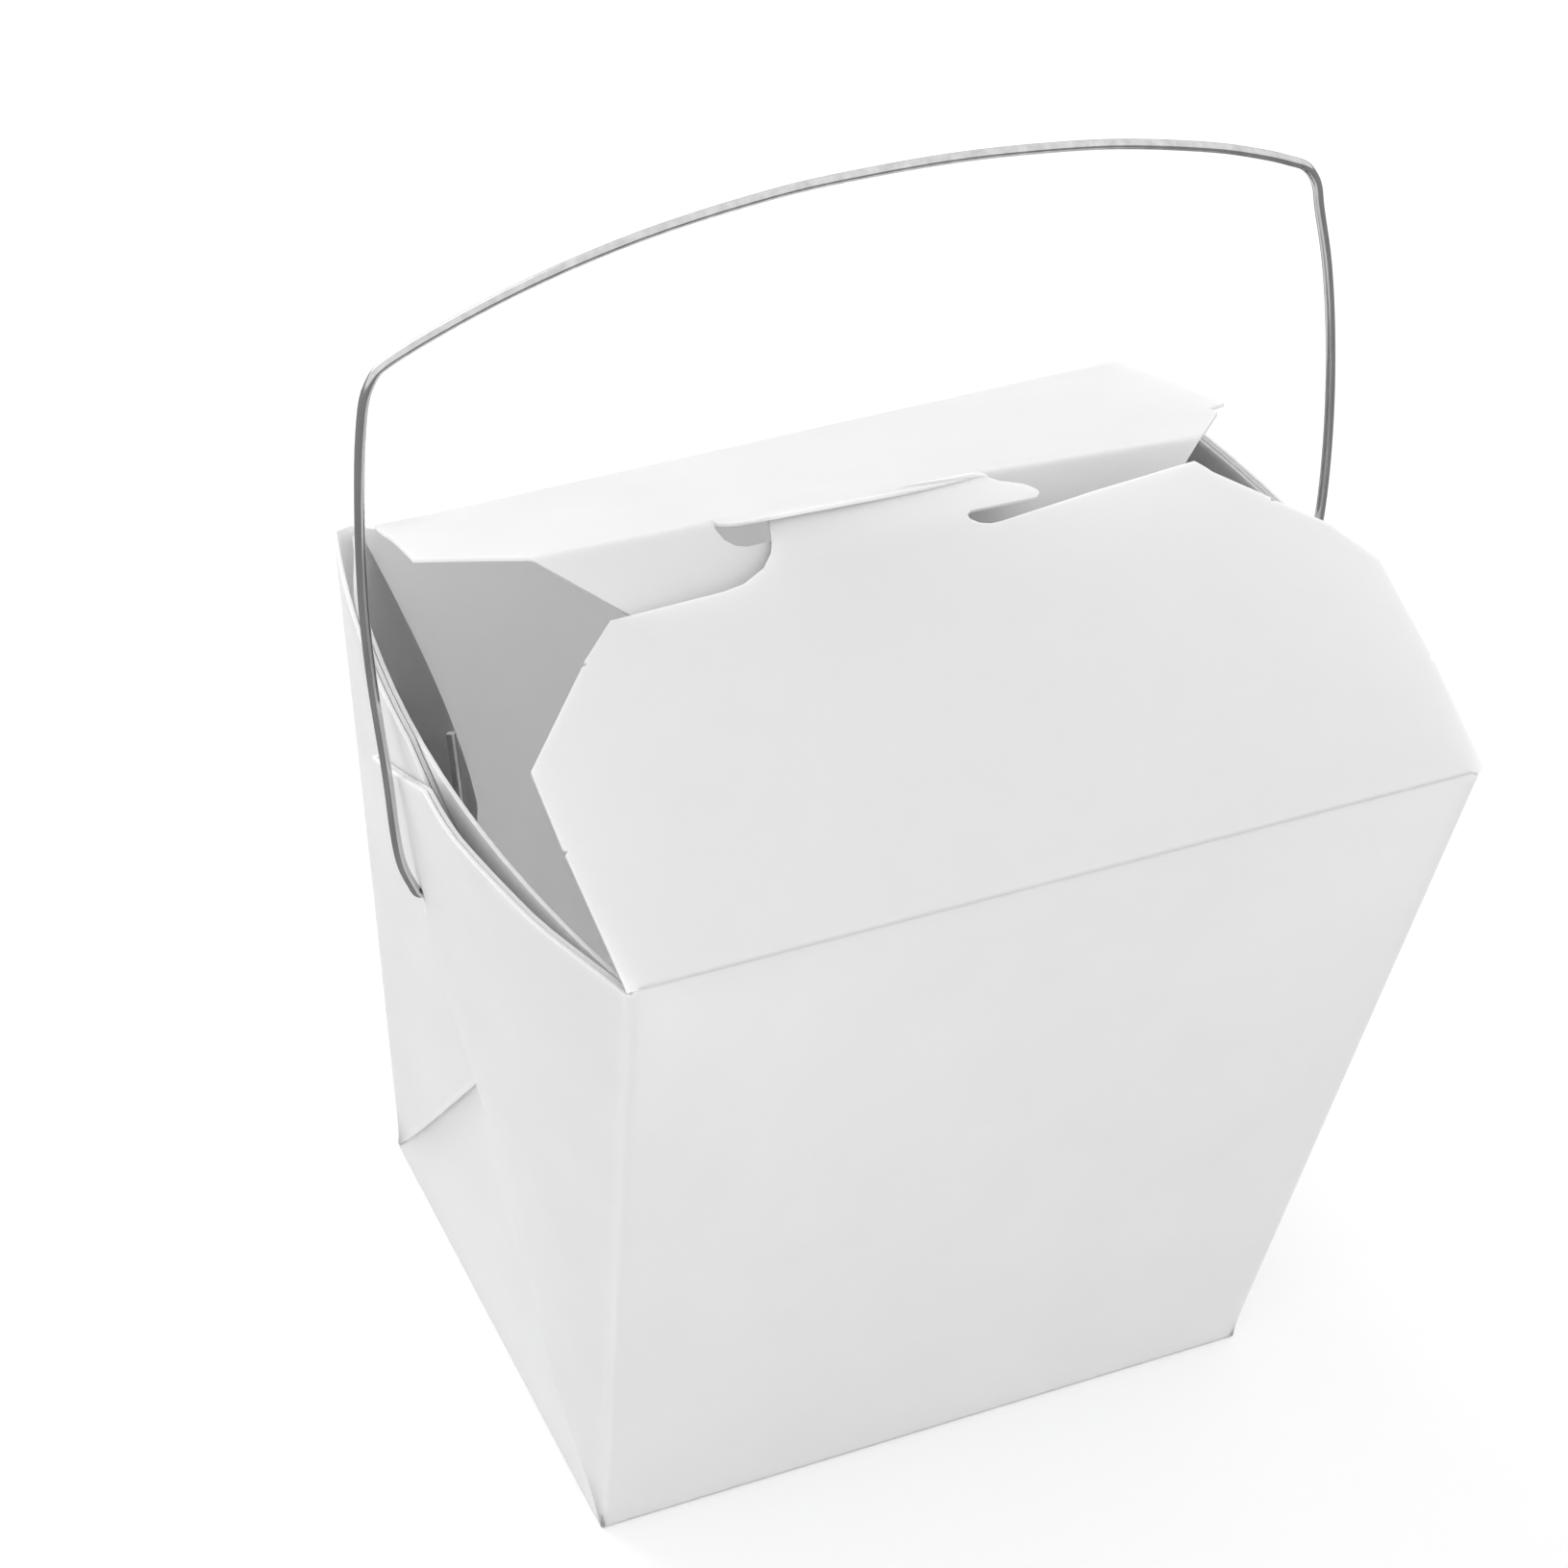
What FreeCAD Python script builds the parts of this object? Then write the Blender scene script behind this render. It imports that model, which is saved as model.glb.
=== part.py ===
import FreeCAD, Part
import Sketcher
import math
import os
from FreeCAD import Placement, Rotation, Vector

# Folded takeout food box with a wire bail, in millimetres, +Z up. The origin is the middle of
# the underside of the base, the front wall faces -Y, and the bail's pivots run along X.

# Driving dimensions: alias, value, what it is
DIMENSIONS = [
    ("baseWidth", 75.0, "outside of the base along X"),
    ("baseDepth", 58.2, "outside of the base along Y"),
    ("rimWidth", 90.0, "length of the front and back top folds"),
    ("rimDepth", 73.4, "front fold to back fold"),
    ("rimHeight", 87.2, "floor to the top folds"),
    ("board", 0.42, "thickness of the paperboard"),
    ("plyGap", 0.1, "air between folded plies"),
    ("sideBow", 5.2, "how far a side's top edge bulges out"),
    ("bowStart", 35.0, "height where the sides begin to bulge"),
    ("sideDrop", 0.8, "side's top edge below the folds"),
    ("tuckRise", 10.0, "height over which a side moves in behind its gussets"),
    ("gussetCrease", 85.4, "length of a corner gusset's crease"),
    ("gussetRamp", 14.0, "run at the rim over which the front gusset climbs onto the back one"),
    ("foldGap", 0.3, "clearance under the front flap's fold"),
    ("flapRise", 16.8, "degrees, shut front flap above level"),
    ("flapWidth", 89.4, "front flap at its shoulders"),
    ("flapChamfer", 14.8, "front flap's shoulders to its top edge"),
    ("flapTopWidth", 63.4, "front flap's top edge"),
    ("tongueLeft", 13.0, "tongue's left side from the middle"),
    ("tongueFillet", 4.6, "hollow curve at the tongue's left foot"),
    ("tongueLength", 5.6, "front flap's top edge to the tongue's end"),
    ("tongueGap", 0.13, "tongue's end short of the tab, seen from above"),
    ("neckRight", 6.6, "tongue's neck from the middle"),
    ("hookReach", 14.9, "hook's tip from the middle"),
    ("notchWidth", 1.6, "notch between the top edge and the hook"),
    ("hookTip", 0.2, "flat at the hook's tip"),
    ("hookRound", 2.6, "hook's rounded corner"),
    ("hookSlope", 1.5, "run of the hook's sloping end"),
    ("roofRise", 25.7, "degrees, back flap above level"),
    ("roofShoulderWidth", 92.0, "back flap at its shoulders"),
    ("roofShoulder", 21.4, "back fold to the shoulders"),
    ("ridgeWidth", 76.2, "length of the back flap's ridge crease"),
    ("ridgeAt", 30.4, "back fold to the ridge crease"),
    ("lipFall", 38.0, "degrees, lip below level"),
    ("lipLength", 14.0, "ridge crease to the lip's end"),
    ("lipWidth", 44.0, "width of the lip's end"),
    ("tabLeft", 18.2, "tab's left end from the middle"),
    ("tabRight", 11.4, "tab's right end from the middle"),
    ("tabReach", 3.3, "how far the tab stands past the ridge"),
    ("tabRound", 3.0, "tab's left corner"),
    ("wire", 1.0, "diameter of the bail's wire"),
    ("wireHole", 1.7, "punched hole for the wire"),
    ("pivotHeight", 64.0, "bail's pivots above the base"),
    ("pivotBack", 4.0, "bail's pivots behind the middle"),
    ("bailLean", 5.0, "degrees, bail leans back at rest"),
    ("bailTop", 72.8, "pivots to the top of the bail"),
    ("archRadius", 121.8, "bow of the bail's top"),
    ("legRadius", 105.0, "bow of the bail's legs"),
    ("legMiddle", 34.0, "widest part of a leg above the pivots"),
    ("bailCorner", 3.0, "bend at the bail's top corners"),
    ("footBend", 1.5, "bends on both sides of the hole"),
    ("legGap", 0.5, "leg clear of the outer gusset at the pivots"),
    ("stubGap", 1.2, "wire's inner end clear of the side at the pivots"),
    ("stubLength", 15.5, "pivots to the wire's cut end"),
    ("stubLean", 20.0, "degrees, inner end behind the leg"),
]

# Dimensions that follow from the others
SLANT = "(rimDepth - board / 2 - (ridgeAt + tabReach) * cos(roofRise) - tongueGap)"
BULGE = "sideBow * ((pivotHeight - bowStart) / (rimHeight - bowStart)) ^ 2"
LEAN = "(baseWidth + (rimWidth - baseWidth) * pivotHeight / rimHeight) / 2"
DERIVED = [
    ("tongueReach", f"={SLANT} / cos(flapRise)", "front fold to the tongue's end"),
    ("flapDepth", "=tongueReach - tongueLength", "front fold to the flap's top edge"),
    ("flapShoulder", "=flapDepth - flapChamfer", "front fold to the flap's shoulders"),
    ("hookStart", "=flapDepth + notchWidth", "front fold to the underside of the hook"),
    ("sideAtPivot", f"={LEAN} + {BULGE}", "back gusset's outer face at the pivots"),
    ("stubAt", "=sideAtPivot - 3 * board - 2 * plyGap - stubGap - wire / 2", "wire's inner end"),
    ("footAt", "=sideAtPivot + 2 * board + 2 * plyGap + legGap + wire / 2", "leg at the pivots"),
]

doc = FreeCAD.newDocument("takeout_box")
sheet = doc.addObject("Spreadsheet::Sheet", "dims")
for row, (alias, value, meaning) in enumerate(DIMENSIONS + DERIVED, start=1):
    sheet.set(f"A{row}", meaning)
    sheet.set(f"B{row}", str(value))
    sheet.setAlias(f"B{row}", alias)
doc.recompute()


# A length with its value, for first positions, and its expression, for the binding

class Size:
    def __init__(self, value, text):
        self.value = value
        self.text = text

    def __add__(self, other):
        return Size(self.value + other.value, f"({self.text} + {other.text})")

    def __sub__(self, other):
        return Size(self.value - other.value, f"({self.text} - {other.text})")

    def __truediv__(self, number):
        return Size(self.value / number, f"({self.text} / {number})")

    def __neg__(self):
        return Size(-self.value, f"(-{self.text})")


def size(alias):
    return Size(getattr(sheet, alias), f"dims.{alias}")


def bind(target, path, length):
    target.setExpression(path, length.text)


START, END, CENTRE = range(1, 4)
UP = Vector(0, 0, 1)
ALONG_X = Vector(1, 0, 0)
NOTHING = Size(0.0, "0")


# Sketches and their constraints

def addSketch(body, name, role, offset=NOTHING, turn=None):
    sketch = body.newObject("Sketcher::SketchObject", name)
    plane = [item for item in body.Origin.OriginFeatures if item.Role == role][0]
    sketch.AttachmentSupport = [(plane, "")]
    sketch.MapMode = "FlatFace"
    sketch.AttachmentOffset = Placement(Vector(0, 0, offset.value), Rotation())
    if offset is not NOTHING:
        bind(sketch, "AttachmentOffset.Base.z", offset)
    if turn is not None:
        sketch.AttachmentOffset = Placement(Vector(), Rotation(ALONG_X, turn.value))
        bind(sketch, "AttachmentOffset.Rotation.Angle", turn)
    return sketch


def hold(sketch, kind, geometry, point, length):
    if length is NOTHING:
        axis = -2 if kind == "DistanceX" else -1
        sketch.addConstraint(Sketcher.Constraint("PointOnObject", geometry, point, axis))
        return
    index = sketch.addConstraint(Sketcher.Constraint(kind, geometry, point, length.value))
    bind(sketch, f"Constraints[{index}]", length)


def holdRadius(sketch, geometry, length):
    index = sketch.addConstraint(Sketcher.Constraint("Radius", geometry, length.value))
    bind(sketch, f"Constraints[{index}]", length)


def arcThrough(start, end, radius, hollow):
    chord = end - start
    rise = math.sqrt(radius ** 2 - (chord.Length / 2) ** 2)
    across = UP.cross(chord).normalize()
    centre = (start + end) / 2 + across * (-rise if hollow else rise)
    first, last = (end, start) if hollow else (start, end)
    begin = math.atan2(first.y - centre.y, first.x - centre.x)
    finish = math.atan2(last.y - centre.y, last.x - centre.x)
    if finish < begin:
        finish += 2 * math.pi
    return Part.ArcOfCircle(Part.Circle(centre, UP, radius), begin, finish)


# A closed outline, anticlockwise. Each corner is an (x, y) pair, with the radius of the curve
# that leaves it where there is one: positive for a round corner, negative for a hollow one.

def drawOutline(sketch, corners):
    points = [Vector(x.value, y.value, 0) for x, y, curve in corners]
    ends = []
    for index, (x, y, curve) in enumerate(corners):
        start = points[index]
        end = points[(index + 1) % len(points)]
        hollow = curve is not None and curve.value < 0
        if curve is None:
            sketch.addGeometry(Part.LineSegment(start, end), False)
        else:
            sketch.addGeometry(arcThrough(start, end, abs(curve.value), hollow), False)
        ends.append((END, START) if hollow else (START, END))
    for index in range(len(corners)):
        following = (index + 1) % len(corners)
        joint = Sketcher.Constraint("Coincident", index, ends[index][1], following, ends[following][0])
        sketch.addConstraint(joint)
    for index, (x, y, curve) in enumerate(corners):
        hold(sketch, "DistanceX", index, ends[index][0], x)
        hold(sketch, "DistanceY", index, ends[index][0], y)
        if curve is not None:
            holdRadius(sketch, index, -curve if curve.value < 0 else curve)


def drawCircle(sketch, radius, height=NOTHING):
    sketch.addGeometry(Part.Circle(Vector(0, height.value, 0), UP, radius.value), False)
    hold(sketch, "DistanceX", 0, CENTRE, NOTHING)
    hold(sketch, "DistanceY", 0, CENTRE, height)
    holdRadius(sketch, 0, radius)


def addPad(body, name, sketch, length):
    pad = body.newObject("PartDesign::Pad", name)
    pad.Profile = sketch
    bind(pad, "Length", length)
    sketch.Visibility = False
    return pad


# Front flap: one leaf of board with a hooked tongue, hinged on the front fold

def makeFrontFlap():
    body = doc.addObject("PartDesign::Body", "front_flap")
    board = size("board")
    fold = size("rimWidth") / 2
    shoulder = size("flapWidth") / 2
    top = size("flapTopWidth") / 2
    depth = size("flapDepth")
    reach = size("tongueReach")
    left = -size("tongueLeft")
    fillet = size("tongueFillet")
    neck = size("neckRight")
    notch = (size("hookStart") - depth) / 2
    hook = size("hookReach")
    hookRound = size("hookRound")
    hookFlat = size("hookStart") + size("hookTip")
    corners = [
        (-fold, NOTHING, None),
        (fold, NOTHING, None),
        (shoulder, size("flapShoulder"), None),
        (top, depth, None),
        (neck + notch, depth, -notch),
        (neck, depth + notch, -notch),
        (neck + notch, size("hookStart"), None),
        (hook, size("hookStart"), None),
        (hook, hookFlat, hookRound),
        (hook - hookRound, hookFlat + hookRound, None),
        (hook - hookRound - size("hookSlope"), reach, None),
        (left, reach, None),
        (left, depth + fillet, -fillet),
        (left - fillet, depth, None),
        (-top, depth, None),
        (-shoulder, size("flapShoulder"), None),
    ]
    leaf = addSketch(body, "leaf_outline", "XY_Plane", -board / 2)
    drawOutline(leaf, corners)
    addPad(body, "leaf", leaf, board)
    bead = addSketch(body, "fold_section", "YZ_Plane", -fold)
    drawCircle(bead, board / 2)
    addPad(body, "fold_bead", bead, size("rimWidth"))
    body.Placement = Placement(Vector(), Rotation(ALONG_X, 1.0))
    bind(body, "Placement.Base.y", (board - size("rimDepth")) / 2)
    bind(body, "Placement.Base.z", size("rimHeight"))
    bind(body, "Placement.Rotation.Angle", size("flapRise"))
    return body


# Bail: one bent wire. Its path is tangent arcs in one plane, and each end turns up inside the
# box in a second plane through the pivots.

def onCircle(centre, through, radius):
    return centre + (through - centre).normalize() * radius


def bailPoints():
    arch = Vector(0, sheet.bailTop - sheet.archRadius, 0)
    legRun = math.sqrt(sheet.legRadius ** 2 - sheet.legMiddle ** 2)
    leg = Vector(sheet.footAt - legRun, sheet.legMiddle, 0)
    toArch = sheet.archRadius - sheet.bailCorner
    toLeg = sheet.legRadius - sheet.bailCorner
    span = (leg - arch).Length
    along = (toArch ** 2 - toLeg ** 2 + span ** 2) / (2 * span)
    across = math.sqrt(toArch ** 2 - along ** 2)
    direction = (leg - arch).normalize()
    corner = arch + direction * along - UP.cross(direction) * across
    footDrop = sheet.legMiddle - sheet.footBend
    footRun = math.sqrt((sheet.legRadius - sheet.footBend) ** 2 - footDrop ** 2)
    foot = Vector(leg.x + footRun, sheet.footBend, 0)
    return arch, leg, corner, foot


def arcBetween(centre, start, end):
    begin = math.atan2(start.y - centre.y, start.x - centre.x)
    finish = math.atan2(end.y - centre.y, end.x - centre.x)
    if finish < begin:
        finish += 2 * math.pi
    return Part.ArcOfCircle(Part.Circle(centre, UP, (start - centre).Length), begin, finish)


def mirrored(point):
    return Vector(-point.x, point.y, 0)


def drawBail(sketch, holeMiddle):
    arch, leg, corner, foot = bailPoints()
    footStart = Vector(foot.x, 0, 0)
    footEnd = onCircle(leg, foot, sheet.legRadius)
    legEnd = onCircle(leg, corner, sheet.legRadius)
    archStart = onCircle(arch, corner, sheet.archRadius)
    path = [
        Part.LineSegment(Vector(holeMiddle.value, 0, 0), footStart),
        arcBetween(foot, footStart, footEnd),
        arcBetween(leg, footEnd, legEnd),
        arcBetween(corner, legEnd, archStart),
        arcBetween(arch, archStart, mirrored(archStart)),
        arcBetween(mirrored(corner), mirrored(archStart), mirrored(legEnd)),
        arcBetween(mirrored(leg), mirrored(legEnd), mirrored(footEnd)),
        arcBetween(mirrored(foot), mirrored(footEnd), mirrored(footStart)),
        Part.LineSegment(mirrored(footStart), Vector(-holeMiddle.value, 0, 0)),
    ]
    for piece in path:
        sketch.addGeometry(piece, False)
    for index in range(len(path) - 1):
        sketch.addConstraint(Sketcher.Constraint("Tangent", index, END, index + 1, START))
    hold(sketch, "DistanceX", 0, START, holeMiddle)
    hold(sketch, "DistanceY", 0, START, NOTHING)
    hold(sketch, "DistanceX", 8, END, -holeMiddle)
    hold(sketch, "DistanceY", 8, END, NOTHING)
    sketch.addConstraint(Sketcher.Constraint("Horizontal", 0))
    sketch.addConstraint(Sketcher.Constraint("Horizontal", 8))
    for index, radius in [(1, "footBend"), (7, "footBend"), (3, "bailCorner"), (5, "bailCorner")]:
        holdRadius(sketch, index, size(radius))
    legRun = Size(sheet.footAt - leg.x, "sqrt(dims.legRadius ^ 2 - dims.legMiddle ^ 2)")
    centreX = size("footAt") - legRun
    for index, side in [(2, 1), (6, -1)]:
        hold(sketch, "DistanceX", index, CENTRE, centreX if side > 0 else -centreX)
        hold(sketch, "DistanceY", index, CENTRE, size("legMiddle"))
        holdRadius(sketch, index, size("legRadius"))
    hold(sketch, "DistanceX", 4, CENTRE, NOTHING)
    hold(sketch, "DistanceY", 4, CENTRE, size("bailTop") - size("archRadius"))
    holdRadius(sketch, 4, size("archRadius"))


def drawStub(sketch, side, holeMiddle):
    bend = sheet.footBend
    start = Vector(side * holeMiddle.value, 0, 0)
    turn = Vector(side * (sheet.stubAt + bend), 0, 0)
    rise = Vector(side * sheet.stubAt, bend, 0)
    centre = Vector(turn.x, bend, 0)
    end = Vector(side * sheet.stubAt, sheet.stubLength, 0)
    bendStart, bendEnd = (START, END) if side < 0 else (END, START)
    first, last = (turn, rise) if side < 0 else (rise, turn)
    sketch.addGeometry(Part.LineSegment(start, turn), False)
    sketch.addGeometry(arcBetween(centre, first, last), False)
    sketch.addGeometry(Part.LineSegment(rise, end), False)
    sketch.addConstraint(Sketcher.Constraint("Tangent", 0, END, 1, bendStart))
    sketch.addConstraint(Sketcher.Constraint("Tangent", 1, bendEnd, 2, START))
    sketch.addConstraint(Sketcher.Constraint("Horizontal", 0))
    sketch.addConstraint(Sketcher.Constraint("Vertical", 2))
    hold(sketch, "DistanceY", 0, START, NOTHING)
    hold(sketch, "DistanceX", 0, START, holeMiddle if side > 0 else -holeMiddle)
    hold(sketch, "DistanceX", 2, END, size("stubAt") if side > 0 else -size("stubAt"))
    hold(sketch, "DistanceY", 2, END, size("stubLength"))
    holdRadius(sketch, 1, size("footBend"))


def addWire(body, name, path, section):
    pipe = body.newObject("PartDesign::AdditivePipe", name)
    pipe.Profile = section
    pipe.Spine = path
    path.Visibility = False
    section.Visibility = False
    return pipe


def makeBail():
    body = doc.addObject("PartDesign::Body", "wire_handle")
    holeMiddle = (size("stubAt") + size("footAt")) / 2
    radius = size("wire") / 2
    path = addSketch(body, "bail_path", "XZ_Plane")
    drawBail(path, holeMiddle)
    section = addSketch(body, "wire_section", "YZ_Plane", holeMiddle)
    drawCircle(section, radius)
    addWire(body, "bail", path, section)
    for side, hand in [(1, "right"), (-1, "left")]:
        stub = addSketch(body, f"{hand}_stub_path", "XZ_Plane", turn=-size("stubLean"))
        drawStub(stub, side, holeMiddle)
        cut = addSketch(body, f"{hand}_stub_section", "YZ_Plane", holeMiddle if side > 0 else -holeMiddle)
        drawCircle(cut, radius)
        addWire(body, f"{hand}_stub", stub, cut)
    body.Placement = Placement(Vector(), Rotation(ALONG_X, -1.0))
    bind(body, "Placement.Base.y", size("pivotBack"))
    bind(body, "Placement.Base.z", size("pivotHeight"))
    bind(body, "Placement.Rotation.Angle", -size("bailLean"))
    return body


# Carton: the folded sheet. Its sides bulge and its gussets lie ply on ply, so it is built from
# bent sheets cut to the outlines of their panels.

board = sheet.board
pitch = board + sheet.plyGap
sideTop = sheet.rimHeight - sheet.sideDrop


def halfWidthAt(z):
    return (sheet.baseWidth + (sheet.rimWidth - sheet.baseWidth) * z / sheet.rimHeight) / 2


def halfDepthAt(z):
    return (sheet.baseDepth + (sheet.rimDepth - sheet.baseDepth) * z / sheet.rimHeight) / 2


# In the flat blank the base, two walls and a gusset fill a full turn round a bottom corner,
# and the gusset's crease halves it. Its top end is cut square to the crease.

wallSlope = math.degrees(math.atan((sheet.rimDepth - sheet.baseDepth) / 2 / sheet.rimHeight))
sideSlope = math.degrees(math.atan((sheet.rimWidth - sheet.baseWidth) / 2 / sheet.rimHeight))
creaseAngle = math.radians((90 - wallSlope - sideSlope) / 2 - wallSlope)
creaseRun = sheet.gussetCrease * math.sin(creaseAngle)
creaseRise = sheet.gussetCrease * math.cos(creaseAngle)
cutRun = creaseRun - (sideTop - creaseRise) / math.tan(creaseAngle)
OPEN_PAST_CUT = 3.0


def creaseAt(z):
    return z * math.tan(creaseAngle) - halfDepthAt(0)


# One bent sheet of the right-hand side: an exact quadratic surface over the height and over the
# station across the side, which runs from -1 at the front corner to 1 at the back one

def bowAt(z):
    return sheet.sideBow * max(0.0, (z - sheet.bowStart) / (sheet.rimHeight - sheet.bowStart)) ** 2


def crownAt(station):
    return 1 - station ** 2


def tuckedAt(z):
    return -2 * pitch * (1 - max(0.0, 1 - z / sheet.tuckRise) ** 2)


def climbAt(station):
    run = min(1.0, (station + 1) / rampShare)
    return 2 * pitch * (2 * run ** 2 if run < 0.5 else 1 - 2 * (1 - run) ** 2)


def level(place):
    return 0.0


def itself(place):
    return place


rampShare = sheet.gussetRamp / halfDepthAt(sheet.rimHeight)
heights = [0.0, sheet.tuckRise, sheet.bowStart, sheet.rimHeight]
stations = [-1.0, rampShare / 2 - 1, rampShare - 1, 1.0]


def polesOf(curve, knots):
    spans = zip(knots[:1] + knots, knots + knots[-1:])
    return [2 * curve((a + b) / 2) - (curve(a) + curve(b)) / 2 for a, b in spans]


def sideSheet(inset, thickness, lift, tuck):
    upward = [polesOf(curve, heights) for curve in (halfWidthAt, bowAt, tuck, halfDepthAt, itself)]
    sideways = [polesOf(curve, stations) for curve in (itself, crownAt, lift)]
    poles = []
    for across, crown, rise in zip(*sideways):
        line = []
        for width, bow, back, depth, z in zip(*upward):
            line.append(Vector(width + bow * crown + rise + back - inset, across * depth, z))
        poles.append(line)
    ends = [3, 1, 1, 3]
    surface = Part.BSplineSurface()
    surface.buildFromPolesMultsKnots(poles, ends, ends, stations, heights, False, False, 2, 2)
    return surface.toShape().extrude(Vector(-thickness, 0, 0))


def sideBlock(corners):
    points = [Vector(0, y, z) for y, z in corners]
    return Part.Face(Part.makePolygon(points + points[:1])).extrude(Vector(sheet.rimWidth, 0, 0))


# end is 1 for the front gusset and -1 for the back one. A gusset covers the end of its wall, and
# the air between its plies stops inside the wall.

def gussetBlock(end):
    corners = [
        (-halfDepthAt(0), 0),
        (creaseRun - halfDepthAt(0), creaseRise),
        (cutRun - halfDepthAt(0), sideTop),
        (-halfDepthAt(sideTop), sideTop),
    ]
    return sideBlock([(end * y, z) for y, z in corners])


# Below the height where the side has moved in, the two plies lie pressed together

def gussetGap(end):
    fold = board / math.cos(creaseAngle)
    foot = sheet.tuckRise
    past = creaseRise + OPEN_PAST_CUT
    corners = [
        (board / 2 - halfDepthAt(foot), foot),
        (creaseAt(foot) - fold, foot),
        (creaseAt(past) - fold, past),
        (creaseAt(past) - fold, sheet.rimHeight),
        (board / 2 - halfDepthAt(sheet.rimHeight), sheet.rimHeight),
    ]
    return sideBlock([(end * y, z) for y, z in corners])


def makeGusset(end, lift):
    pair = sideSheet(0.0, 2 * board + sheet.plyGap, lift, level).common(gussetBlock(end))
    gap = sideSheet(board, sheet.plyGap, lift, level).common(gussetGap(end))
    return pair.cut(gap)


def makeSideWall():
    inset = board / 2
    corners = [
        (inset - halfDepthAt(0), 0),
        (halfDepthAt(0) - inset, 0),
        (halfDepthAt(sideTop) - inset, sideTop),
        (inset - halfDepthAt(sideTop), sideTop),
    ]
    return sideSheet(0.0, board, level, tuckedAt).common(sideBlock(corners))


def makeWall(end, top):
    reach = halfWidthAt(top) - board / 2
    points = [
        Vector(-halfWidthAt(0), end * halfDepthAt(0), 0),
        Vector(halfWidthAt(0), end * halfDepthAt(0), 0),
        Vector(reach, end * halfDepthAt(top), top),
        Vector(-reach, end * halfDepthAt(top), top),
    ]
    return Part.Face(Part.makePolygon(points + points[:1])).extrude(Vector(0, -end * board, 0))


def makeFloor():
    width = sheet.baseWidth - board
    depth = sheet.baseDepth - board
    return Part.makeBox(width, depth, board, Vector(-width / 2, -depth / 2, 0))


# A leaf of board from its outline in its own plane, laid on the line y, z at the given angle.
# Its outer face is the plane, and the board lies below it.

def makeLeaf(wire, y, z, angle):
    leaf = Part.Face(wire).extrude(Vector(0, 0, board))
    leaf.Placement = Placement(Vector(0, y, z), Rotation(ALONG_X, angle))
    return leaf


def tabEdges(ridge):
    left = -sheet.tabLeft
    front = ridge + sheet.tabReach
    rounding = sheet.tabRound
    easing = rounding * (1 - math.sqrt(0.5))
    curve = Part.Arc(
        Vector(left + rounding, front, 0),
        Vector(left + easing, front - easing, 0),
        Vector(left, front - rounding, 0),
    )
    return [
        Part.makeLine(Vector(sheet.tabRight, ridge, 0), Vector(sheet.tabRight, front, 0)),
        Part.makeLine(Vector(sheet.tabRight, front, 0), Vector(left + rounding, front, 0)),
        curve.toShape(),
        Part.makeLine(Vector(left, front - rounding, 0), Vector(left, ridge, 0)),
    ]


def makeRoof():
    ridge = sheet.ridgeAt
    points = [
        Vector(-sheet.tabLeft, ridge, 0),
        Vector(-sheet.ridgeWidth / 2, ridge, 0),
        Vector(-sheet.roofShoulderWidth / 2, sheet.roofShoulder, 0),
        Vector(-sheet.rimWidth / 2, 0, 0),
        Vector(sheet.rimWidth / 2, 0, 0),
        Vector(sheet.roofShoulderWidth / 2, sheet.roofShoulder, 0),
        Vector(sheet.ridgeWidth / 2, ridge, 0),
        Vector(sheet.tabRight, ridge, 0),
    ]
    outline = Part.Wire(Part.makePolygon(points).Edges + tabEdges(ridge))
    panel = makeLeaf(outline, sheet.rimDepth / 2, sheet.rimHeight, 180 - sheet.roofRise)
    rise = math.radians(sheet.roofRise)
    ridgeY = sheet.rimDepth / 2 - ridge * math.cos(rise)
    ridgeZ = sheet.rimHeight + ridge * math.sin(rise)
    lipPoints = [
        Vector(-sheet.ridgeWidth / 2, 0, 0),
        Vector(sheet.ridgeWidth / 2, 0, 0),
        Vector(sheet.lipWidth / 2, sheet.lipLength, 0),
        Vector(-sheet.lipWidth / 2, sheet.lipLength, 0),
    ]
    lip = makeLeaf(Part.makePolygon(lipPoints + lipPoints[:1]), ridgeY, ridgeZ, 180 + sheet.lipFall)
    slotBase = Part.makeLine(Vector(-sheet.tabLeft, 0, 0), Vector(sheet.tabRight, 0, 0))
    slot = Part.Face(Part.Wire([slotBase] + tabEdges(0.0))).extrude(Vector(0, 0, 3 * board))
    slot.translate(Vector(0, 0, -board))
    slot.Placement = lip.Placement.multiply(slot.Placement)
    return panel.fuse(lip.cut(slot))


def makeCarton():
    frontTop = sheet.rimHeight - board / 2 - sheet.foldGap
    right = makeSideWall().fuse([makeGusset(1, climbAt), makeGusset(-1, level)])
    left = right.mirror(Vector(), ALONG_X)
    walls = [makeWall(-1, frontTop), makeWall(1, sheet.rimHeight), right, left, makeRoof()]
    folded = makeFloor().fuse(walls)
    length = 2 * sheet.rimWidth
    start = Vector(-length / 2, sheet.pivotBack, sheet.pivotHeight)
    holes = Part.makeCylinder(sheet.wireHole / 2, length, start, ALONG_X)
    carton = doc.addObject("Part::Feature", "carton")
    carton.Shape = folded.cut(holes).removeSplitter()
    return carton


parts = [makeCarton(), makeFrontFlap(), makeBail()]
doc.recompute()

for item in doc.Objects:
    if "Invalid" in item.State or "Error" in item.State:
        raise RuntimeError(f"{item.Name} failed: {item.State}")
for item in parts:
    if item.Shape.isNull() or not item.Shape.isValid():
        raise RuntimeError(f"{item.Label} has no valid shape")

os.makedirs("parts", exist_ok=True)
for item in parts:
    item.Shape.exportStep(f"parts/{item.Label}.step")
    box = item.Shape.BoundBox
    print(item.Label, len(item.Shape.Solids), "solid,", round(item.Shape.Volume, 1), "mm3,", box)
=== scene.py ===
import math

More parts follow.
